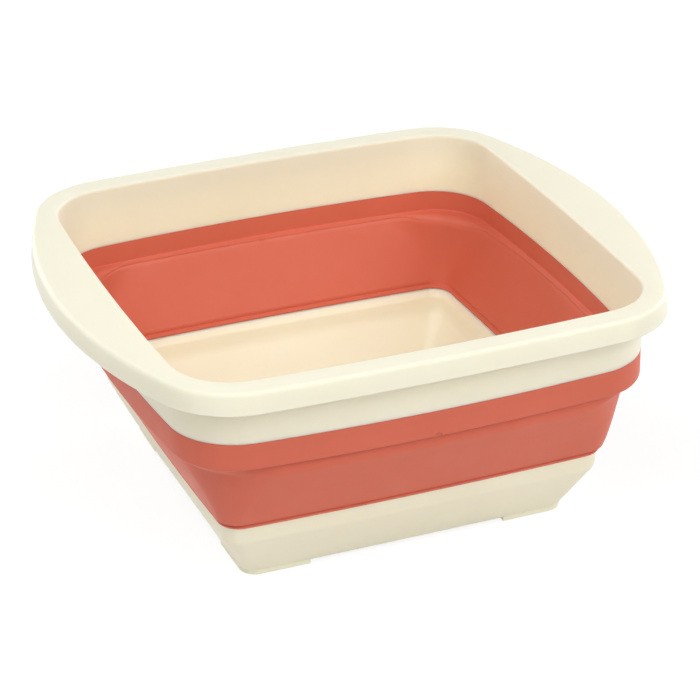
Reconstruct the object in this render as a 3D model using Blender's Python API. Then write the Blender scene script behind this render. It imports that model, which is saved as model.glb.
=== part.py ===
"""Collapsible camp washbasin: a rigid rim with two grips, an elastomer wall that folds, and a tray.

Metres, +Z up. X runs from grip to grip, Y from front to back. The origin is on the ground under
the middle of the tray. Every level of the basin is a rounded square with bowed sides, so each wall
is a loft from one such outline to the next.
"""

import math
from collections import namedtuple

import bmesh
import bpy
from mathutils import Vector

# Heights, from the ground up
FOOT_HEIGHT = 0.003
TRAY_HEIGHT = 0.0457
BEAD_RISE = 0.0008
PANEL_HEIGHT = 0.0459
BAND_HEIGHT = 0.0184
RIM_HEIGHT = 0.0406

# Rim, at the lower edge of its skirt; the grips are its bowed ends
RIM_LENGTH = 0.372
RIM_WIDTH = 0.3258
GRIP_BOW = 0.0438
RIM_SIDE_BOW = 0.0069
RIM_CORNER = 0.0535

# Mouth, where the flange turns down into the basin
GRIP_DEPTH = 0.0348
FLANGE_DEPTH = 0.0159
MOUTH_END_BOW = 0.0045
MOUTH_SIDE_BOW = 0.0054
MOUTH_CORNER = 0.038

# Neck, the inner face where the rim's wall ends and the elastomer wall starts
NECK_END_SPREAD = 0.0014
NECK_SIDE_SPREAD = 0.0003
NECK_END_BOW = 0.0097
NECK_SIDE_BOW = 0.0086
NECK_CORNER = 0.0395

# Fold line, the inner face at the lower edge of the upper band
BAND_INSET = 0.0012
FOLD_END_BOW = 0.0145
FOLD_SIDE_BOW = 0.006
FOLD_CORNER = 0.042
PANEL_CORNER = 0.058

# Tray, its outer face at the joint under the bead, and the outline of its floor
PANEL_END_LEAN = 0.0263
PANEL_SIDE_LEAN = 0.0218
TRAY_BOW = 0.0026
TRAY_CORNER = 0.0125
TRAY_END_LEAN = 0.0192
TRAY_SIDE_LEAN = 0.0205
FLOOR_BOW = 0.0008
FLOOR_CORNER = 0.0125

# Tray section: upright lip over a sloping wall, with a flared edge
LIP_DEPTH = 0.0109
LIP_DRAFT = 0.0009
LIP_BEND = 0.003
FLARE = 0.0006
FLARE_HEIGHT = 0.0034
LIP_EDGE = 0.0009
TRAY_EDGE = 0.0004
FLOOR_FILLET = 0.005

# Walls
RIM_WALL = 0.0026
BAND_WALL = 0.0026
PANEL_WALL = 0.0022
TRAY_WALL = 0.0024

# Rim section
SKIRT_HEIGHT = 0.0141
SKIRT_DRAFT = 0.001
RIM_ROUND = 0.0033
MOUTH_ROUND = 0.0026
NECK_STEP = 0.0003

# Elastomer sections
BAND_EDGE = 0.0006
BAND_LEDGE = 0.004
PANEL_BULGE = 0.0026
PANEL_EDGE = 0.0006
HINGE_WALL = 0.0012
HINGE_RISE = 0.003
BEAD_WALL = 0.0009

# Feet, one under each corner of the tray
FOOT_LEG = 0.044
FOOT_WIDTH = 0.009
FOOT_INSET = 0.0002

# Clearances: moulded joints, and the gap between walls that slide past each other
SEAM = 0.0003
SLIDE_GAP = 0.0004

# Facets of each outline's quarter, of each rounding and of the bulged panel
END_STEPS = 5
CORNER_STEPS = 6
SIDE_STEPS = 5
ROUND_STEPS = 3
BULGE_STEPS = 5
FOOT_END_STEPS = 2

# Power by which the panel's corner opens, quickly at first, from the tray to the fold line
CORNER_OPENING = 1.5

# Levels
TRAY_BOTTOM = FOOT_HEIGHT
TRAY_TOP = TRAY_BOTTOM + TRAY_HEIGHT
JOINT_LEVEL = TRAY_TOP - FLARE_HEIGHT
PANEL_BOTTOM = TRAY_TOP + BEAD_RISE
FOLD_LEVEL = PANEL_BOTTOM + PANEL_HEIGHT
NECK_LEVEL = FOLD_LEVEL + BAND_HEIGHT
RIM_TOP = NECK_LEVEL + RIM_HEIGHT

# Lengths and widths of the outlines below the rim, each set in from the one above
MOUTH_LENGTH = RIM_LENGTH - 2 * GRIP_DEPTH
MOUTH_WIDTH = RIM_WIDTH - 2 * FLANGE_DEPTH
NECK_LENGTH = MOUTH_LENGTH + 2 * NECK_END_SPREAD
NECK_WIDTH = MOUTH_WIDTH + 2 * NECK_SIDE_SPREAD
FOLD_LENGTH = NECK_LENGTH - 2 * BAND_INSET
FOLD_WIDTH = NECK_WIDTH - 2 * BAND_INSET
TRAY_LENGTH = FOLD_LENGTH - 2 * PANEL_END_LEAN
TRAY_WIDTH = FOLD_WIDTH - 2 * PANEL_SIDE_LEAN
FLOOR_LENGTH = TRAY_LENGTH - 2 * TRAY_END_LEAN
FLOOR_WIDTH = TRAY_WIDTH - 2 * TRAY_SIDE_LEAN

Plan = namedtuple("Plan", "length width end_bow side_bow corner")
RIM_PLAN = Plan(RIM_LENGTH, RIM_WIDTH, GRIP_BOW, RIM_SIDE_BOW, RIM_CORNER)
MOUTH_PLAN = Plan(MOUTH_LENGTH, MOUTH_WIDTH, MOUTH_END_BOW, MOUTH_SIDE_BOW, MOUTH_CORNER)
NECK_PLAN = Plan(NECK_LENGTH, NECK_WIDTH, NECK_END_BOW, NECK_SIDE_BOW, NECK_CORNER)
FOLD_PLAN = Plan(FOLD_LENGTH, FOLD_WIDTH, FOLD_END_BOW, FOLD_SIDE_BOW, FOLD_CORNER)
PANEL_PLAN = Plan(FOLD_LENGTH, FOLD_WIDTH, FOLD_END_BOW, FOLD_SIDE_BOW, PANEL_CORNER)
TRAY_PLAN = Plan(TRAY_LENGTH, TRAY_WIDTH, TRAY_BOW, TRAY_BOW, TRAY_CORNER)
FLOOR_PLAN = Plan(FLOOR_LENGTH, FLOOR_WIDTH, FLOOR_BOW, FLOOR_BOW, FLOOR_CORNER)

Arcs = namedtuple("Arcs", "end end_radius corner corner_radius side side_radius end_angle side_angle")


def clear_scene():
    for obj in list(bpy.data.objects):
        bpy.data.objects.remove(obj, do_unlink=True)


def new_collection(name):
    collection = bpy.data.collections.new(name)
    bpy.context.scene.collection.children.link(collection)
    return collection


def moulding_material(name, colour, roughness):
    material = bpy.data.materials.new(name)
    material.use_nodes = True
    shader = material.node_tree.nodes["Principled BSDF"]
    shader.inputs["Base Color"].default_value = (*colour, 1)
    shader.inputs["Roughness"].default_value = roughness
    shader.inputs["Metallic"].default_value = 0
    material.diffuse_color = (*colour, 1)
    return material


def direction(angle):
    return Vector((math.cos(angle), math.sin(angle)))


def arcs_of(plan):
    """The three arcs of an outline's first quarter: the bowed end, the corner and the bowed side.

    A bow is how far a side falls back from its middle to the corner of the box around the
    outline. The corner arc touches both bowed arcs.
    """
    half_length = plan.length / 2
    half_width = plan.width / 2
    end_radius = (half_width ** 2 + plan.end_bow ** 2) / (2 * plan.end_bow)
    side_radius = (half_length ** 2 + plan.side_bow ** 2) / (2 * plan.side_bow)
    end = Vector((half_length - end_radius, 0))
    side = Vector((0, half_width - side_radius))
    to_end = end_radius - plan.corner
    to_side = side_radius - plan.corner
    across = side - end
    span = across.length
    along = (to_end ** 2 - to_side ** 2 + span ** 2) / (2 * span)
    off = math.sqrt(max(to_end ** 2 - along ** 2, 0))
    base = end + across / span * along
    aside = Vector((-across.y, across.x)) / span * off
    corner = max((base + aside, base - aside), key=lambda point: point.x + point.y)
    end_angle = math.atan2(corner.y - end.y, corner.x - end.x)
    side_angle = math.atan2(corner.y - side.y, corner.x - side.x)
    return Arcs(end, end_radius, corner, plan.corner, side, side_radius, end_angle, side_angle)


def arc_points(centre, radius, start, stop, steps):
    """Points on an arc from the start angle up to, but not at, the stop angle."""
    turns = [start + (stop - start) * i / steps for i in range(steps)]
    return [centre + direction(turn) * radius for turn in turns]


def outline(plan, grow):
    """The closed outline of a level, grown outwards by a wall or an inset."""
    arcs = arcs_of(plan)
    quarter = arc_points(arcs.end, arcs.end_radius + grow, 0, arcs.end_angle, END_STEPS)
    quarter += arc_points(arcs.corner, arcs.corner_radius + grow, arcs.end_angle, arcs.side_angle, CORNER_STEPS)
    quarter += arc_points(arcs.side, arcs.side_radius + grow, arcs.side_angle, math.pi / 2, SIDE_STEPS)
    quarter.append(Vector((0, plan.width / 2 + grow)))
    half = quarter + [Vector((-point.x, point.y)) for point in reversed(quarter[:-1])]
    return half + [Vector((point.x, -point.y)) for point in reversed(half[1:-1])]


def between(low, high, share):
    """The outline a share of the way from one plan to another."""
    return Plan(*(start + (stop - start) * share for start, stop in zip(low, high)))


def quarter_turn(centre, level, radius, start):
    """Growths and heights of a quarter circle in a section, about a centre and from a start angle."""
    turns = [start + math.pi / 2 * i / ROUND_STEPS for i in range(ROUND_STEPS + 1)]
    return [(centre + radius * math.cos(turn), level + radius * math.sin(turn)) for turn in turns]


def loft(name, collection, material, sections, seat, ring=True):
    """A solid whose skin runs through sections of (plan, growth, height), with its origin at seat.

    A ring's last section joins its first; otherwise the first and last sections are capped.
    """
    mesh = bpy.data.meshes.new(name)
    bm = bmesh.new()
    loops = []
    for plan, grow, level in sections:
        loops.append([bm.verts.new((point.x, point.y, level - seat)) for point in outline(plan, grow)])
    pairs = list(zip(loops, loops[1:]))
    if ring:
        pairs.append((loops[-1], loops[0]))
    else:
        bm.faces.new(loops[0])
        bm.faces.new(loops[-1])
    for low, high in pairs:
        for i in range(len(low)):
            j = (i + 1) % len(low)
            bm.faces.new((low[i], low[j], high[j], high[i]))
    bmesh.ops.recalc_face_normals(bm, faces=bm.faces)
    bm.to_mesh(mesh)
    bm.free()
    mesh.materials.append(material)
    mesh.shade_smooth()
    mesh.set_sharp_from_angle(angle=math.radians(30))
    obj = bpy.data.objects.new(name, mesh)
    obj.location = (0, 0, seat)
    collection.objects.link(obj)
    return obj


def rim_frame(collection, material):
    """Skirt, flange with its two grips, and the wall down to the neck, all one thickness."""
    skirt_level = RIM_TOP - SKIRT_HEIGHT
    under = RIM_TOP - RIM_WALL
    seam = NECK_LEVEL + SEAM / 2
    sections = [(RIM_PLAN, 0, skirt_level)]
    for grow, level in quarter_turn(-SKIRT_DRAFT - RIM_ROUND, RIM_TOP - RIM_ROUND, RIM_ROUND, 0):
        sections.append((RIM_PLAN, grow, level))
    for grow, level in quarter_turn(MOUTH_ROUND, RIM_TOP - MOUTH_ROUND, MOUTH_ROUND, math.pi / 2):
        sections.append((MOUTH_PLAN, grow, level))
    sections.append((NECK_PLAN, 0, seam))
    sections.append((NECK_PLAN, RIM_WALL, seam))
    sections.append((MOUTH_PLAN, RIM_WALL, under))
    sections.append((RIM_PLAN, -SKIRT_DRAFT - RIM_WALL, under))
    sections.append((RIM_PLAN, -RIM_WALL, skirt_level))
    return loft("rim_frame", collection, material, sections, NECK_LEVEL)


def upper_band(collection, material):
    """The band of the elastomer wall that stays upright under the rim, down to the fold line.

    Its corners carry a ledge that reaches in to the panel's wider corner.
    """
    seam = NECK_LEVEL - SEAM / 2
    edge_level = FOLD_LEVEL + BAND_EDGE
    sections = [
        (NECK_PLAN, -NECK_STEP, seam),
        (FOLD_PLAN, 0, FOLD_LEVEL + BAND_LEDGE),
        (PANEL_PLAN, 0, edge_level),
        (PANEL_PLAN, BAND_EDGE, FOLD_LEVEL),
        (FOLD_PLAN, BAND_WALL - BAND_EDGE, FOLD_LEVEL),
        (FOLD_PLAN, BAND_WALL, edge_level),
        (NECK_PLAN, RIM_WALL + NECK_STEP, seam),
    ]
    return loft("upper_band", collection, material, sections, FOLD_LEVEL)


def panel_section(share, grow):
    """The panel's outline and height a share of the way up, its middle bulged outwards."""
    opening = 1 - (1 - share) ** CORNER_OPENING
    plan = between(TRAY_PLAN, PANEL_PLAN, share)
    corner = TRAY_CORNER + (PANEL_CORNER - TRAY_CORNER) * opening
    bulge = PANEL_BULGE * 4 * share * (1 - share)
    return plan._replace(corner=corner), grow + bulge, PANEL_BOTTOM + PANEL_HEIGHT * share


def fold_panel(collection, material):
    """The sloping panel between the two fold lines, thinned at its lower edge to a hinge.

    Its upper edge stands just inside the band's, a slide gap away all round.
    """
    foot = FLARE + BEAD_WALL + SLIDE_GAP
    lean = -SLIDE_GAP - PANEL_WALL - foot
    hinge_share = HINGE_RISE / PANEL_HEIGHT
    shares = [hinge_share + (1 - hinge_share) * i / BULGE_STEPS for i in range(BULGE_STEPS)]
    inner = [panel_section(share, foot + lean * share) for share in shares]
    outer = [(plan, grow + PANEL_WALL, level) for plan, grow, level in inner]
    edge_level = FOLD_LEVEL + BAND_EDGE
    top = edge_level + PANEL_EDGE
    crown = [
        (PANEL_PLAN, -SLIDE_GAP, edge_level),
        (PANEL_PLAN, -SLIDE_GAP - PANEL_EDGE, top),
        (PANEL_PLAN, -SLIDE_GAP - PANEL_WALL + PANEL_EDGE, top),
        (PANEL_PLAN, -SLIDE_GAP - PANEL_WALL, edge_level),
    ]
    hinge = [(TRAY_PLAN, foot, PANEL_BOTTOM), (TRAY_PLAN, foot + HINGE_WALL, PANEL_BOTTOM)]
    sections = hinge + outer + crown + inner[::-1]
    return loft("fold_panel", collection, material, sections, PANEL_BOTTOM)


def lower_bead(collection, material):
    """The elastomer's lower edge, moulded round the tray's lip."""
    top = PANEL_BOTTOM - SEAM
    outer = FLARE + BEAD_WALL
    sections = [
        (TRAY_PLAN, SEAM, JOINT_LEVEL),
        (TRAY_PLAN, SEAM + BEAD_WALL, JOINT_LEVEL),
        (TRAY_PLAN, outer, TRAY_TOP),
        (TRAY_PLAN, outer, top),
        (TRAY_PLAN, FLARE + SEAM, top),
        (TRAY_PLAN, FLARE + SEAM, TRAY_TOP),
    ]
    return loft("lower_bead", collection, material, sections, JOINT_LEVEL)


def base_tray(collection, material):
    """The rigid tray: floor, sloping wall, upright lip and a flare inside its upper edge."""
    bend = JOINT_LEVEL - LIP_DEPTH
    rise = bend - TRAY_BOTTOM
    slant = math.hypot(TRAY_END_LEAN, rise)
    bend_share = LIP_BEND / slant
    fillet_share = FLOOR_FILLET / slant
    below_bend = between(FLOOR_PLAN, TRAY_PLAN, 1 - bend_share)
    above_floor = between(FLOOR_PLAN, TRAY_PLAN, fillet_share)
    below_level = bend - rise * bend_share
    above_level = TRAY_BOTTOM + rise * fillet_share
    wall = TRAY_WALL * slant / rise
    sections = [
        (FLOOR_PLAN, -TRAY_EDGE, TRAY_BOTTOM),
        (FLOOR_PLAN, 0, TRAY_BOTTOM + TRAY_EDGE),
        (below_bend, -LIP_DRAFT, below_level),
        (TRAY_PLAN, -LIP_DRAFT, bend + LIP_BEND),
        (TRAY_PLAN, 0, JOINT_LEVEL),
        (TRAY_PLAN, FLARE, TRAY_TOP),
        (TRAY_PLAN, FLARE - LIP_EDGE, TRAY_TOP),
        (TRAY_PLAN, -TRAY_WALL, JOINT_LEVEL - LIP_EDGE),
        (TRAY_PLAN, -LIP_DRAFT - TRAY_WALL, bend + LIP_BEND),
        (below_bend, -LIP_DRAFT - wall, below_level),
        (above_floor, -wall, above_level + TRAY_WALL),
        (FLOOR_PLAN, -wall - FLOOR_FILLET, TRAY_BOTTOM + TRAY_WALL),
    ]
    return loft("base_tray", collection, material, sections, TRAY_BOTTOM, ring=False)


def foot_edge(arcs, grow):
    """One long edge of a foot, round the tray floor's corner from leg end to leg end."""
    end_radius = arcs.end_radius + grow
    corner_radius = arcs.corner_radius + grow
    side_radius = arcs.side_radius + grow
    start = math.asin((FLOOR_WIDTH / 2 - FOOT_LEG) / end_radius)
    stop = math.acos((FLOOR_LENGTH / 2 - FOOT_LEG) / side_radius)
    points = arc_points(arcs.end, end_radius, start, arcs.end_angle, FOOT_END_STEPS)
    points += arc_points(arcs.corner, corner_radius, arcs.end_angle, arcs.side_angle, CORNER_STEPS)
    points += arc_points(arcs.side, side_radius, arcs.side_angle, stop, FOOT_END_STEPS)
    points.append(arcs.side + direction(stop) * side_radius)
    return points


def foot(name, collection, material, side_x, side_y):
    """A low L-shaped foot, a flat outline extruded up to the underside of the tray."""
    arcs = arcs_of(FLOOR_PLAN)
    seat = arcs.corner
    points = foot_edge(arcs, -FOOT_INSET) + foot_edge(arcs, -FOOT_INSET - FOOT_WIDTH)[::-1]
    height = FOOT_HEIGHT - SEAM
    curve = bpy.data.curves.new(name, "CURVE")
    curve.dimensions = "2D"
    curve.fill_mode = "BOTH"
    curve.extrude = height / 2
    spline = curve.splines.new("POLY")
    spline.points.add(len(points) - 1)
    for vertex, point in zip(spline.points, points):
        vertex.co = ((point.x - seat.x) * side_x, (point.y - seat.y) * side_y, 0, 1)
    spline.use_cyclic_u = True
    curve.materials.append(material)
    obj = bpy.data.objects.new(name, curve)
    obj.location = (seat.x * side_x, seat.y * side_y, height / 2)
    collection.objects.link(obj)
    return obj


def feet(collection, material):
    """One foot under each corner of the tray."""
    for end, side_x in (("left", -1), ("right", 1)):
        for face, side_y in (("front", -1), ("back", 1)):
            foot(f"foot_{face}_{end}", collection, material, side_x, side_y)


def build():
    clear_scene()
    collection = new_collection("camp_washbasin")
    cream = moulding_material("cream_plastic", (0.86, 0.79, 0.63), 0.42)
    coral = moulding_material("coral_elastomer", (0.68, 0.15, 0.09), 0.55)
    pale = moulding_material("pale_foot_elastomer", (0.8, 0.76, 0.6), 0.6)
    rim_frame(collection, cream)
    upper_band(collection, coral)
    fold_panel(collection, coral)
    lower_bead(collection, coral)
    base_tray(collection, cream)
    feet(collection, pale)


build()
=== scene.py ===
"""Looks of the collapsible camp washbasin: rim, folding elastomer wall, tray and foot pads.

Metres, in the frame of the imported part. Every level of the basin is a rounded square with bowed
sides. A piece is a chain of such levels, its section, rounded at its edges and carried round.
"""

import math

import bpy
import numpy as np
from mathutils import Matrix


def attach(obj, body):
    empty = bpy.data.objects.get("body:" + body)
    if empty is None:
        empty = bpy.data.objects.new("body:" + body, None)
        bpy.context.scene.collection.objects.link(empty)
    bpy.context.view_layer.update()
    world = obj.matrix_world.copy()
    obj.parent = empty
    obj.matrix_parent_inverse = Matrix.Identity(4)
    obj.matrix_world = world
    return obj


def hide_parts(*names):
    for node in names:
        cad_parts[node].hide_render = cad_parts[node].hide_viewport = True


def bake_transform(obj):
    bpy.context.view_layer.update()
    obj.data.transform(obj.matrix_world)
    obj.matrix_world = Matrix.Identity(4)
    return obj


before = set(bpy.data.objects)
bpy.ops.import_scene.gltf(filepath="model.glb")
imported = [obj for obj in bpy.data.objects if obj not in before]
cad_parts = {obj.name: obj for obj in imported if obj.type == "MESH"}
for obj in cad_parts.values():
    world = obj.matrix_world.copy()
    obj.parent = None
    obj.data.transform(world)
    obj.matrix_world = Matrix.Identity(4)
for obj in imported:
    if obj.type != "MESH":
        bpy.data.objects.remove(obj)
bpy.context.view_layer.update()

# Outlines: half length, half width, bow of the ends, bow of the sides, corner radius. A station
# is an outline with its growth outwards and its level; below are the places of the last three.
RIM = (0.186, 0.1629, 0.0438, 0.0069, 0.0535)
MOUTH = (0.1512, 0.147, 0.0045, 0.0054, 0.038)
NECK = (0.1526, 0.1473, 0.0097, 0.0086, 0.0395)
RIDGE = (0.1514, 0.1461, 0.0145, 0.006, 0.058)
SHOULDER = (0.1500, 0.1461, 0.0145, 0.006, 0.0516)
PANEL_FOOT = (0.1251, 0.1243, 0.0026, 0.0026, 0.0095)
TRAY = (0.1251, 0.1243, 0.0026, 0.0026, 0.0125)
FLOOR = (0.1072, 0.1056, 0.0008, 0.0008, 0.0105)
CORNER, GROWTH, LEVEL = 4, 5, 6

# Levels
FLOOR_LEVEL = 0.003
BEND_LEVEL = 0.0344
JOINT_LEVEL = 0.0453
LIP_LEVEL = 0.0497
SHOULDER_LEVEL = 0.0899
BAND_LOW = 0.0970
LEDGE_LEVEL = 0.1001
NECK_LEVEL = 0.1138
SKIRT_LEVEL = 0.1403
RIM_TOP = 0.1544

# Walls of the rigid parts, how far the skirt's upper edge is drawn in, how far the elastomer
# stands proud of the rim, and how far its shoulder stands past its outline
RIM_WALL = 0.0026
TRAY_WALL = 0.0024
SKIRT_LEAN = 0.001
PROUD = 0.00015
SHOULDER_PROUD = 0.0004

# Roundings, as the distance from an edge at which its arc starts
SHARP = 0.0002
FEATHER = 0.0001
SKIRT_ROUND = 0.0006
FLANGE_ROUND = 0.0035
MOUTH_ROUND = 0.0026
UNDER_ROUND = 0.0015
BAND_ROUND = 0.0009
SHOULDER_ROUND = 0.0013
LEDGE_ROUND = 0.0006

# The panel's faces: growth and level of their ends, the lower two past the foot's outline, the
# outer top past the shoulder's and the inner tops, at the sides and the corners, past the ridge's
PANEL_OUTER_TOP = (-0.0001, SHOULDER_LEVEL - 0.0014)
PANEL_OUTER_LOW = (0.0034, 0.0506)
PANEL_INNER_LOW = (0.0027, 0.0533)
SIDE_PANEL_TOP = (-0.0026, 0.0966)
CORNER_PANEL_TOP = (-0.0035, 0.0940)

# The crease outside, where the shoulder meets the band: at the sides its growth past the shoulder
# and level, at the corners how far it lies in from halfway between the two; and its roundings
SIDE_CREASE = (-0.0010, BAND_LOW - 0.0002)
SIDE_CREASE_ROUND = 0.0006
CORNER_CREASE_INSET = 0.0004
CORNER_CREASE_ROUND = 0.0015

# The groove and the ridge inside, over the panel: growth past the ridge's outline, level, rounding
SIDE_RIDGE = (
    (-0.0017, 0.0979, 0.0008),
    (-0.0020, LEDGE_LEVEL - 0.0011, 0.0005),
)
CORNER_RIDGE = (
    (-0.0032, 0.0948, 0.0002),
    (-0.0018, LEDGE_LEVEL - 0.0012, (0.0030, 0.0014)),
)

# The panel's lower edge, then the bead, its groove and its seat on the tray's lip, up to the
# lower hinge: growth past the outline, level and rounding
PANEL_EDGE = (0.0029, 0.0489, 0.0009)
BEAD = (
    (0.0012, 0.0487, 0.0002),
    (0.0010, 0.0474, 0.0002),
    (0.0019, 0.0469, 0.0003),
    (0.0010, JOINT_LEVEL, 0.0004),
    (-0.0001, JOINT_LEVEL, 0.0001),
    (0.0012, LIP_LEVEL, 0.0001),
    (0.0010, LIP_LEVEL, 0.0002),
    (0.0010, 0.0513, 0.0004),
    (0.0033, 0.0519, 0.0005),
)

# The tray's wall: outline, growth past it, level and rounding, from the floor's underside over the
# lip to the floor's upper side
TRAY_SECTION = (
    (FLOOR, -0.0003, FLOOR_LEVEL, 0.0007),
    (TRAY, -0.0009, BEND_LEVEL, 0.0018),
    (TRAY, 0, JOINT_LEVEL, 0.0012),
    (TRAY, 0.0009, LIP_LEVEL - 0.0003, 0.0002),
    (TRAY, 0.0011, LIP_LEVEL, 0.0001),
    (TRAY, -TRAY_WALL, 0.0444, 0.0012),
    (TRAY, -0.0033, 0.0350, 0.0035),
    (FLOOR, -0.0031, FLOOR_LEVEL + TRAY_WALL, 0.005),
)
# Shares of the floor's outline at which its flat faces have further rings
FLOOR_SHARES = (0.25, 0.6)

# Foot pads: length of their arms from the floor's outermost points, growth of their outer and
# inner outline, depth that they sink into the tray, lower rounding, and sharp edges' least angle
PAD_LENGTH = 0.044
PAD_EDGES = (-0.0002, -0.0092)
PAD_SINK = 0.0002
PAD_ROUND = 0.0009
PAD_SHARP_ANGLE = 50

# How late the panel's corners open out, and the outlines' turns between which a section changes
CORNER_OPENING = 1.4
SIDE_SHARE = 0.5
CORNER_SHARE = 0.95

# Moulding marks at the middle of the sides, each with its height: a dent in the outer crease and
# a pip on the inner ridge; how far from its middle a mark reaches, and its level share
MOULDING_MARKS = (((0, 0.1496, 0.0974), -0.0009), ((0, 0.1438, 0.0984), 0.0003))
MARK_REACH = 0.0022
MARK_LEVEL_SHARE = 0.35

# Finish of every moulding: scales per metre of the colour's clouds and specks, of the patches of
# gloss and of the skin's waves, and how strong each is; the grain's strength; the gloss's index
# of refraction; how far light of each colour travels inside, against the others
CLOUDS = 22
SPECKS = 900
SPECK_SHARE = 0.25
PATCHES = 60
GLOSSIER = 0.05
DULLER = 0.06
WAVES = 14
WAVE_DEPTH = 0.0006
WAVE_STRENGTH = 0.25
GRAIN_STRENGTH = 0.5
GLOSS_INDEX = 1.45
GLOW_COLOUR = (1.0, 1.0, 0.9)

# Points round a quarter of an outline, and rows of each rounding and of the panel's faces
END_POINTS = 30
CORNER_POINTS = 44
SIDE_POINTS = 30
ROUND_ROWS = 5
PANEL_ROWS = 26

# Camera: where the photograph was taken from, its sensor's width, its lens and how far it sees
CAMERA_PLACE = (-0.57839, -1.44876, 0.88047)
CAMERA_RIGHT = (0.92604, -0.37733, -0.00798)
CAMERA_UP = (0.17838, 0.41895, 0.89031)
CAMERA_BACK = (-0.3326, -0.82589, 0.45528)
CAMERA_SENSOR = 36
CAMERA_LENS = 142.995
CAMERA_REACH = 50

# Floor: size, level, the grey of its bounce and of its shown face, and the glow that lifts the
# shown face to white, with the distances between which it grows past the lamps' reach
STAGE_SIZE = 24
STAGE_LEVEL = -0.0002
BOUNCE_GREY = 0.9
SHOWN_GREY = 0.25
FLOOR_GLOW = (0.82, 1.0)
FLOOR_FADE = (0.8, 2.2)

# Strength of the dome, and the lamps all round: their size, and each one's place and power
AMBIENT = 0.07
LAMP_SIZE = 1.2
LAMPS = {
    "front_lamp": ((0.79, -1.86, 1.47), 25),
    "front_top_lamp": ((-0.44, -1.09, 2.21), 11),
    "right_front_lamp": ((1.87, -0.76, 1.47), 4),
    "right_lamp": ((2.27, 0.96, 0.43), 33),
    "back_low_lamp": ((-0.96, 2.27, 0.43), 21),
    "back_lamp": ((-0.79, 1.86, 1.47), 9),
    "left_lamp": ((-1.86, -0.79, 1.47), 10),
    "left_top_lamp": ((-1.08, -0.46, 2.21), 13.5),
}


def station(plan, growth, level):
    """One level of a section: an outline, its growth outwards and its height."""
    return np.array((*plan, growth, level))


def arc(centre, radius, start, stop, points, last=False):
    """Points of every level's arc at once: centre + radius (cos t, sin t), t from start to stop."""
    share = np.linspace(0, 1, points + 1)
    if not last:
        share = share[:-1]
    turn = start[:, None] + (stop - start)[:, None] * share
    x = centre[0][:, None] + radius[:, None] * np.cos(turn)
    y = centre[1][:, None] + radius[:, None] * np.sin(turn)
    return np.stack((x, y, turn), axis=-1)


def quarter_arcs(stations):
    """The first quarter of every outline, from the middle of an end to the middle of a side.

    A side of half span h that falls back by the bow s is an arc of radius (h h + s s) / 2 s. The
    corner's centre is where circles of the two radii less the corner's own radius cross.
    """
    half_x, half_y, bow_x, bow_y, corner, growth = stations.T[:LEVEL]
    end_radius = (half_y ** 2 + bow_x ** 2) / (2 * bow_x)
    side_radius = (half_x ** 2 + bow_y ** 2) / (2 * bow_y)
    end_x = half_x - end_radius
    side_y = half_y - side_radius
    to_end = end_radius - corner
    to_side = side_radius - corner
    span = np.hypot(end_x, side_y)
    along = (to_end ** 2 - to_side ** 2 + span ** 2) / (2 * span)
    off = np.sqrt(np.maximum(to_end ** 2 - along ** 2, 0))
    unit_x = -end_x / span
    unit_y = side_y / span
    centre_x = end_x + unit_x * along - unit_y * off
    centre_y = unit_y * along + unit_x * off
    end_turn = np.arctan2(centre_y, centre_x - end_x)
    side_turn = np.arctan2(centre_y - side_y, centre_x)
    zero = np.zeros_like(half_x)
    quarter = zero + math.pi / 2
    return np.concatenate((
        arc((end_x, zero), end_radius + growth, zero, end_turn, END_POINTS),
        arc((centre_x, centre_y), corner + growth, end_turn, side_turn, CORNER_POINTS),
        arc((zero, side_y), side_radius + growth, side_turn, quarter, SIDE_POINTS, last=True),
    ), axis=1)


def raised_quarters(stations):
    """The first quarters with their levels, as levels x points x 3, and their directions."""
    quarter = quarter_arcs(stations)
    level = np.broadcast_to(stations[:, LEVEL, None], quarter.shape[:2])
    return np.stack((quarter[..., 0], quarter[..., 1], level), axis=-1), quarter[..., 2]


def whole(quarter):
    """Closed outlines from their first quarters, mirrored twice: levels x points x 3."""
    second = quarter[:, -2::-1] * (-1, 1, 1)
    half = np.concatenate((quarter, second), axis=1)
    other = half[:, -2:0:-1] * (1, -1, 1)
    return np.concatenate((half, other), axis=1)


def rings(stations, corner_stations=None):
    """Closed outlines of all levels, as levels x points x 3.

    A second section, given for the corners, takes over by a smooth step of how squarely the
    outline faces a diagonal: (|cos t| + |sin t| - 1) / (root 2 - 1), t being its direction.
    """
    points, turn = raised_quarters(stations)
    if corner_stations is not None:
        facing = (np.abs(np.cos(turn)) + np.abs(np.sin(turn)) - 1) / (math.sqrt(2) - 1)
        share = np.clip((facing - SIDE_SHARE) / (CORNER_SHARE - SIDE_SHARE), 0, 1)
        share = (share * share * (3 - 2 * share))[..., None]
        corner_points, _ = raised_quarters(corner_stations)
        points += (corner_points - points) * share
    return whole(points)


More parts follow.
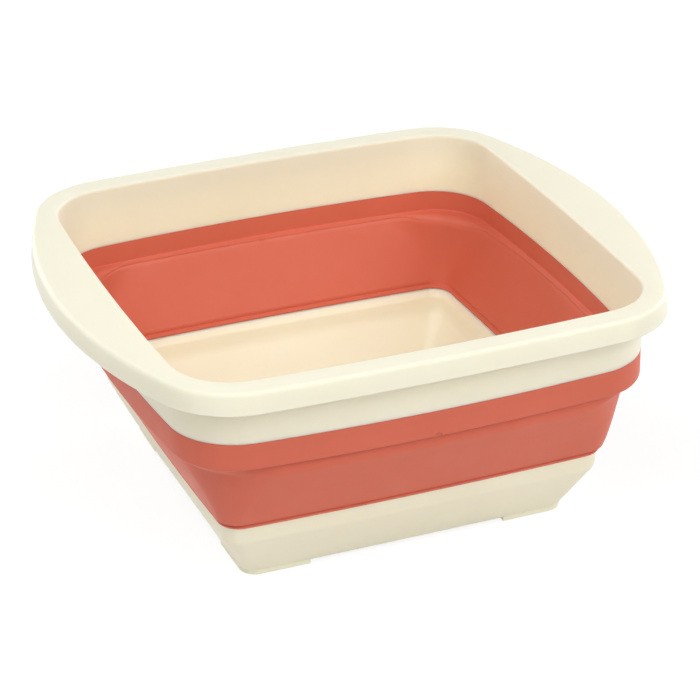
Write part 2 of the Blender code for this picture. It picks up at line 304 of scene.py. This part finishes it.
def rounded(chain, closed=True):
    """The chain of (station, reach), with each edge turned into an arc that starts a reach away.

    A pair of reaches is the one back along the chain and the one ahead. The arc is the rational
    parabola (a (1-t)(1-t) + 2 w e t (1-t) + b t t) / (the weights' sum) between a and b about the
    edge e, with w the cosine of half the turn, which makes it circular where the reaches agree.
    """
    edges = np.array([place for place, reach in chain])
    reaches = [reach if isinstance(reach, tuple) else (reach, reach) for place, reach in chain]
    section = np.stack((edges[:, 0] + edges[:, GROWTH], edges[:, LEVEL]), axis=-1)
    share = np.linspace(0, 1, ROUND_ROWS + 1)[:, None]
    rows = []
    for i, (back_reach, ahead_reach) in enumerate(reaches):
        before, after = (i - 1) % len(edges), (i + 1) % len(edges)
        if back_reach == 0 or (not closed and i in (0, len(edges) - 1)):
            rows.append(edges[i:i + 1])
            continue
        back, ahead = section[before] - section[i], section[after] - section[i]
        back_length, ahead_length = np.hypot(*back), np.hypot(*ahead)
        start = edges[i] + (edges[before] - edges[i]) * back_reach / back_length
        stop = edges[i] + (edges[after] - edges[i]) * ahead_reach / ahead_length
        inside = np.clip(back @ ahead / (back_length * ahead_length), -1, 1)
        weight = math.sqrt((1 - inside) / 2)
        parts = (1 - share) ** 2, 2 * weight * share * (1 - share), share ** 2
        rows.append((start * parts[0] + edges[i] * parts[1] + stop * parts[2]) / sum(parts))
    return np.concatenate(rows)


def smooth_mesh(name, points, faces):
    """A smooth-shaded mesh object from an array of points and a list of face index tuples."""
    mesh = bpy.data.meshes.new(name)
    mesh.from_pydata(points.tolist(), [], faces)
    mesh.validate()
    mesh.shade_smooth()
    obj = bpy.data.objects.new(name, mesh)
    bpy.context.scene.collection.objects.link(obj)
    return obj


def ring_faces(rows, columns, closed):
    """Quads between neighbouring rings, and from the last ring to the first in a closed section."""
    row = np.arange(rows if closed else rows - 1)[:, None]
    column = np.arange(columns)[None, :]
    upper = (row + 1) % rows
    beside = (column + 1) % columns
    low, high = row * columns, upper * columns
    quads = np.stack((low + column, low + beside, high + beside, high + column), axis=-1)
    return quads.reshape(-1, 4).tolist()


def tube(name, grid):
    """A closed shell from a closed section carried round: rings x points x 3."""
    rows, columns = grid.shape[:2]
    return smooth_mesh(name, grid.reshape(-1, 3), ring_faces(rows, columns, True))


def dish(name, grid):
    """A closed shell from an open section: its first and last rings shrink to a centre point each."""
    rows, columns = grid.shape[:2]
    faces = ring_faces(rows, columns, False)
    points = grid.reshape(-1, 3)
    centres = np.array((grid[0].mean(axis=0), grid[-1].mean(axis=0)))
    column = np.arange(columns)
    beside = (column + 1) % columns
    first = np.full(columns, rows * columns)
    top = (rows - 1) * columns
    faces += np.stack((first, beside, column), axis=-1).tolist()
    faces += np.stack((first + 1, top + column, top + beside), axis=-1).tolist()
    return smooth_mesh(name, np.concatenate((points, centres)), faces)


def rim_moulding():
    """Rigid rim: skirt, flange with two grips and inner wall, one thickness all the way.

    Section, from the skirt's lower edge up over the flange, down the inner wall and back.
    """
    under = RIM_TOP - RIM_WALL
    chain = [
        (station(RIM, 0, SKIRT_LEVEL), SKIRT_ROUND),
        (station(RIM, -SKIRT_LEAN, RIM_TOP), FLANGE_ROUND),
        (station(MOUTH, 0, RIM_TOP), MOUTH_ROUND),
        (station(NECK, 0, NECK_LEVEL), SHARP),
        (station(NECK, RIM_WALL, NECK_LEVEL), SHARP),
        (station(MOUTH, RIM_WALL, under), UNDER_ROUND),
        (station(RIM, -SKIRT_LEAN - RIM_WALL, under), UNDER_ROUND),
        (station(RIM, -RIM_WALL, SKIRT_LEVEL), SKIRT_ROUND),
    ]
    return tube("rim_moulding", rings(rounded(chain)))


def panel_rows(low, high, shares):
    """Rows of one face of the panel, from one station to another.

    Outline, growth and height go in a straight line with the share of the way, and the corner
    radius opens with a power of the share.
    """
    rows = low + (high - low) * shares[:, None]
    rows[:, CORNER] = low[CORNER] + (high[CORNER] - low[CORNER]) * shares ** CORNER_OPENING
    return rows


def wall_section(crease, panel_top, ridge):
    """Section of the folding wall: down outside from the rim, under the bead, and up inside.

    The band is upright, the panel straight between its shoulder and its rounded lower edge. What
    is given differs between the sides and the corners: the crease outside as a station and its
    reach, the panel's upper end inside, and the groove and ridge above that end.
    """
    shares = np.linspace(1, 0, PANEL_ROWS)
    outer_top = station(SHOULDER, *PANEL_OUTER_TOP)
    outer_low = station(PANEL_FOOT, *PANEL_OUTER_LOW)
    inner_top = station(RIDGE, *panel_top)
    inner_low = station(PANEL_FOOT, *PANEL_INNER_LOW)
    chain = [
        (station(NECK, RIM_WALL + PROUD, NECK_LEVEL), SHARP),
        (station(NECK, RIM_WALL + PROUD, BAND_LOW), BAND_ROUND),
        crease,
        (station(SHOULDER, SHOULDER_PROUD, SHOULDER_LEVEL), SHOULDER_ROUND),
    ]
    chain += [(row, 0) for row in panel_rows(outer_low, outer_top, shares)]
    chain += [(station(PANEL_FOOT, *PANEL_EDGE[:2]), PANEL_EDGE[2])]
    chain += [(station(TRAY, growth, level), reach) for growth, level, reach in BEAD]
    chain += [(row, 0) for row in panel_rows(inner_low, inner_top, shares[::-1])]
    chain += [(station(RIDGE, growth, level), reach) for growth, level, reach in ridge]
    chain += [
        (station(NECK, -PROUD, LEDGE_LEVEL), LEDGE_ROUND),
        (station(NECK, -PROUD, NECK_LEVEL), FEATHER),
    ]
    return rounded(chain)


def elastomer_wall():
    """The folding wall, one moulding, carried round: grooves at both hinges, soft at the corners."""
    band_edge = station(NECK, RIM_WALL + PROUD, BAND_LOW)
    shoulder = station(SHOULDER, SHOULDER_PROUD, SHOULDER_LEVEL)
    halfway = (band_edge + shoulder) / 2
    halfway[GROWTH] -= CORNER_CREASE_INSET
    side_crease = (station(SHOULDER, *SIDE_CREASE), SIDE_CREASE_ROUND)
    sides = wall_section(side_crease, SIDE_PANEL_TOP, SIDE_RIDGE)
    corners = wall_section((halfway, CORNER_CREASE_ROUND), CORNER_PANEL_TOP, CORNER_RIDGE)
    return tube("elastomer_wall", rings(sides, corners))


def floor_rings(level, shares):
    """Rings of a flat face of the tray's floor: its outline shrunk to each share."""
    return [(station([size * share for size in FLOOR], 0, level), 0) for share in shares]


def tray_moulding():
    """The rigid tray, from the middle of its underside round its lip to the middle of its floor."""
    chain = floor_rings(FLOOR_LEVEL, FLOOR_SHARES)
    chain += [(station(plan, growth, level), reach) for plan, growth, level, reach in TRAY_SECTION]
    chain += floor_rings(FLOOR_LEVEL + TRAY_WALL, FLOOR_SHARES[::-1])
    return dish("tray_moulding", rings(rounded(chain, closed=False)))


def pad_outline():
    """Outline of a pad: the tray floor's corner, out along one edge and back along another."""
    edges = []
    for growth in PAD_EDGES:
        quarter = quarter_arcs(station(FLOOR, growth, 0)[None])[0]
        keep = (quarter[:, 0] > FLOOR[0] - PAD_LENGTH) & (quarter[:, 1] > FLOOR[1] - PAD_LENGTH)
        edges.append(quarter[keep, :2])
    return np.concatenate((edges[0], edges[1][::-1]))


def foot_pad(name, side_x, side_y):
    """A low L-shaped pad under one corner of the tray, with a rounded lower edge.

    Its outline is inset towards the ground by a quarter circle: r (1 - cos t) at the height
    r (1 - sin t), along the mean of the two edges' normals at each point.
    """
    loop = pad_outline()
    ahead = np.roll(loop, -1, axis=0) - loop
    ahead /= np.linalg.norm(ahead, axis=1)[:, None]
    normal = np.stack((ahead[:, 1], -ahead[:, 0]), axis=-1)
    mean = normal + np.roll(normal, 1, axis=0)
    mean /= (mean * normal).sum(axis=1)[:, None]
    turn = np.linspace(0, math.pi / 2, ROUND_ROWS + 1)
    inset = np.concatenate(((0,), PAD_ROUND * (1 - np.cos(turn))))
    height = np.concatenate(((FLOOR_LEVEL + PAD_SINK,), PAD_ROUND * (1 - np.sin(turn))))
    flat = loop[None] - mean[None] * inset[:, None, None]
    level = np.broadcast_to(height[:, None, None], (*flat.shape[:2], 1))
    grid = np.concatenate((flat, level), axis=-1) * (side_x, side_y, 1)
    if side_x * side_y > 0:
        grid = grid[:, ::-1]
    rows, columns = grid.shape[:2]
    faces = ring_faces(rows, columns, False)
    faces.append(tuple(range(columns))[::-1])
    faces.append(tuple(range((rows - 1) * columns, rows * columns)))
    obj = smooth_mesh(name, grid.reshape(-1, 3), faces)
    obj.data.set_sharp_from_angle(angle=math.radians(PAD_SHARP_ANGLE))
    return obj


def new_material(name):
    """A material with its node tree, its shader and its object coordinates."""
    material = bpy.data.materials.new(name)
    material.use_nodes = True
    tree = material.node_tree
    return material, tree, tree.nodes["Principled BSDF"], object_place(tree)


def object_place(tree):
    """The place on the piece, in metres from its origin."""
    return tree.nodes.new("ShaderNodeTexCoord").outputs["Object"]


def noise(tree, coordinates, scale, detail, rough=0.55):
    """Noise of a scale per metre on the piece's own coordinates."""
    node = tree.nodes.new("ShaderNodeTexNoise")
    node.inputs["Scale"].default_value = scale
    node.inputs["Detail"].default_value = detail
    node.inputs["Roughness"].default_value = rough
    tree.links.new(coordinates, node.inputs["Vector"])
    return node.outputs["Fac"]


def ranged(tree, value, low, high, start=0.3, stop=0.7):
    """A value stretched from start..stop to low..high."""
    node = tree.nodes.new("ShaderNodeMapRange")
    node.inputs["From Min"].default_value = start
    node.inputs["From Max"].default_value = stop
    node.inputs["To Min"].default_value = low
    node.inputs["To Max"].default_value = high
    tree.links.new(value, node.inputs["Value"])
    return node.outputs["Result"]


def mixed(tree, factor, first, second):
    """A mix of two colours by a factor; each is a colour or a node's output."""
    node = tree.nodes.new("ShaderNodeMix")
    node.data_type = "RGBA"
    tree.links.new(factor, node.inputs["Factor"])
    for socket, colour in ((node.inputs[6], first), (node.inputs[7], second)):
        if isinstance(colour, tuple):
            socket.default_value = (*colour, 1)
        else:
            tree.links.new(colour, socket)
    return node.outputs[2]


def bumped(tree, height, distance, strength, normal=None):
    """A bump of a height over a distance in metres."""
    node = tree.nodes.new("ShaderNodeBump")
    node.inputs["Distance"].default_value = distance
    node.inputs["Strength"].default_value = strength
    tree.links.new(height, node.inputs["Height"])
    if normal is not None:
        tree.links.new(normal, node.inputs["Normal"])
    return node.outputs["Normal"]


def moulded(name, colour, shade, roughness, grain, grain_depth, glow=0.0, glow_depth=0.002):
    """Moulded plastic or elastomer: cloudy colour, fine grain, uneven satin gloss, inner glow."""
    material, tree, shader, place = new_material(name)
    clouds = noise(tree, place, CLOUDS, detail=3)
    specks = noise(tree, place, SPECKS, detail=2)
    tint = mixed(tree, ranged(tree, clouds, 0, 1), colour, shade)
    fine = ranged(tree, specks, 0, SPECK_SHARE)
    tree.links.new(mixed(tree, fine, tint, shade), shader.inputs["Base Color"])
    patches = noise(tree, place, PATCHES, detail=4)
    gloss = ranged(tree, patches, roughness - GLOSSIER, roughness + DULLER)
    tree.links.new(gloss, shader.inputs["Roughness"])
    waves = bumped(tree, noise(tree, place, WAVES, detail=1), WAVE_DEPTH, WAVE_STRENGTH)
    pores = noise(tree, place, grain, detail=3, rough=0.6)
    skin = bumped(tree, pores, grain_depth, GRAIN_STRENGTH, waves)
    tree.links.new(skin, shader.inputs["Normal"])
    shader.inputs["IOR"].default_value = GLOSS_INDEX
    shader.inputs["Subsurface Weight"].default_value = glow
    shader.inputs["Subsurface Radius"].default_value = GLOW_COLOUR
    shader.inputs["Subsurface Scale"].default_value = glow_depth
    return material


def add_marks(material, marks):
    """Small moulding marks: a bump that fades out away from each place and its mirror images."""
    tree = material.node_tree
    shader = tree.nodes["Principled BSDF"]
    mirrored = tree.nodes.new("ShaderNodeVectorMath")
    mirrored.operation = "ABSOLUTE"
    tree.links.new(object_place(tree), mirrored.inputs[0])
    for place, height in marks:
        away = tree.nodes.new("ShaderNodeVectorMath")
        away.operation = "DISTANCE"
        tree.links.new(mirrored.outputs["Vector"], away.inputs[0])
        away.inputs[1].default_value = place
        level = MARK_REACH * MARK_LEVEL_SHARE
        raised = ranged(tree, away.outputs["Value"], height, 0, level, MARK_REACH)
        skin = shader.inputs["Normal"].links[0].from_socket
        marked = bumped(tree, raised, distance=1, strength=1, normal=skin)
        tree.links.new(marked, shader.inputs["Normal"])


def seen_directly(tree):
    """1 for rays from the camera, in reflections and through glass, else 0."""
    path = tree.nodes.new("ShaderNodeLightPath")
    total = path.outputs["Is Camera Ray"]
    for name in ("Is Glossy Ray", "Is Transmission Ray"):
        node = tree.nodes.new("ShaderNodeMath")
        node.operation = "MAXIMUM"
        tree.links.new(total, node.inputs[0])
        tree.links.new(path.outputs[name], node.inputs[1])
        total = node.outputs[0]
    return total


def matt_grey(tree, grey):
    """A matt grey surface."""
    node = tree.nodes.new("ShaderNodeBsdfDiffuse")
    node.inputs["Color"].default_value = (grey, grey, grey, 1)
    return node.outputs[0]


def stage_material():
    """Paper that bounces light as a pale grey and is seen as white with the object's shadow."""
    material = bpy.data.materials.new("studio_floor")
    material.use_nodes = True
    tree = material.node_tree
    tree.nodes.clear()
    away = tree.nodes.new("ShaderNodeVectorMath")
    away.operation = "LENGTH"
    tree.links.new(object_place(tree), away.inputs[0])
    glow = tree.nodes.new("ShaderNodeEmission")
    white = ranged(tree, away.outputs["Value"], *FLOOR_GLOW, *FLOOR_FADE)
    tree.links.new(white, glow.inputs["Strength"])
    both = tree.nodes.new("ShaderNodeAddShader")
    tree.links.new(matt_grey(tree, SHOWN_GREY), both.inputs[0])
    tree.links.new(glow.outputs[0], both.inputs[1])
    choice = tree.nodes.new("ShaderNodeMixShader")
    tree.links.new(seen_directly(tree), choice.inputs[0])
    tree.links.new(matt_grey(tree, BOUNCE_GREY), choice.inputs[1])
    tree.links.new(both.outputs[0], choice.inputs[2])
    output = tree.nodes.new("ShaderNodeOutputMaterial")
    tree.links.new(choice.outputs[0], output.inputs["Surface"])
    return material


def stage_floor():
    """The pale floor."""
    bpy.ops.mesh.primitive_plane_add(size=STAGE_SIZE, location=(0, 0, STAGE_LEVEL))
    floor = bpy.context.object
    floor.name = "studio_floor"
    floor.data.materials.append(stage_material())


def surroundings():
    """A dome that is seen as white and lights the basin only a little."""
    world = bpy.data.worlds.new("studio")
    bpy.context.scene.world = world
    world.use_nodes = True
    tree = world.node_tree
    background = tree.nodes["Background"]
    background.inputs["Color"].default_value = (1, 1, 1, 1)
    strength = ranged(tree, seen_directly(tree), AMBIENT, 1.0, start=0, stop=1)
    tree.links.new(strength, background.inputs["Strength"])


def lamp(name, place, power):
    """A square soft lamp that faces the basin."""
    data = bpy.data.lights.new(name, "AREA")
    data.size = LAMP_SIZE
    data.energy = power
    obj = bpy.data.objects.new(name, data)
    bpy.context.scene.collection.objects.link(obj)
    obj.location = place
    obj.visible_camera = False
    aim = -obj.location
    obj.rotation_euler = aim.to_track_quat("-Z", "Y").to_euler()


def studio():
    """Pale floor, white surroundings and soft lamps all round."""
    stage_floor()
    surroundings()
    for name, (place, power) in LAMPS.items():
        lamp(name, place, power)


def camera():
    """The camera of the photograph."""
    data = bpy.data.cameras.new("camera")
    data.lens = CAMERA_LENS
    data.sensor_width = CAMERA_SENSOR
    data.clip_end = CAMERA_REACH
    obj = bpy.data.objects.new("camera", data)
    bpy.context.scene.collection.objects.link(obj)
    axes = np.eye(4)
    axes[:3, 0] = CAMERA_RIGHT
    axes[:3, 1] = CAMERA_UP
    axes[:3, 2] = CAMERA_BACK
    axes[:3, 3] = CAMERA_PLACE
    obj.matrix_world = Matrix(axes.tolist())
    bpy.context.scene.camera = obj


def dress(piece, body, node, material):
    """Gives a piece its material and body, and hides the CAD part that it replaces."""
    piece.data.materials.append(material)
    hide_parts(node)
    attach(piece, body)


cream = moulded(
    "cream_plastic", colour=(0.922, 0.888, 0.737), shade=(0.905, 0.868, 0.712), roughness=0.5,
    grain=1400, grain_depth=0.00006, glow=0.9, glow_depth=0.0032,
)
# The tray's copy of the cream plastic, its colour a little warmer and more yellow: painted shade,
# standing in for the yellowed look of the tray's shaded wall
tray_cream_painted_shade = moulded(
    "cream_plastic_painted_shade", colour=(0.928, 0.884, 0.705), shade=(0.912, 0.864, 0.68), roughness=0.5,
    grain=1400, grain_depth=0.00006, glow=0.7, glow_depth=0.001,
)
coral = moulded(
    "coral_elastomer", colour=(0.68, 0.142, 0.08), shade=(0.65, 0.132, 0.074), roughness=0.52,
    grain=1700, grain_depth=0.00008,
)
add_marks(coral, MOULDING_MARKS)
pale = moulded(
    "pale_foot_elastomer", colour=(0.93, 0.9, 0.7), shade=(0.9, 0.865, 0.67), roughness=0.6,
    grain=2200, grain_depth=0.0001,
)

dress(rim_moulding(), "rim", "rim_frame", cream)
dress(tray_moulding(), "base", "base_tray", tray_cream_painted_shade)
wall = elastomer_wall()
wall.data.materials.append(coral)
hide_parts("upper_band", "fold_panel", "lower_bead")
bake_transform(wall)
for end, side_x in (("left", -1), ("right", 1)):
    for face, side_y in (("front", -1), ("back", 1)):
        pad = foot_pad(f"pad_{face}_{end}", side_x, side_y)
        dress(pad, "base", f"foot_{face}_{end}", pale)

studio()
camera()
bpy.context.scene.view_settings.view_transform = "Standard"
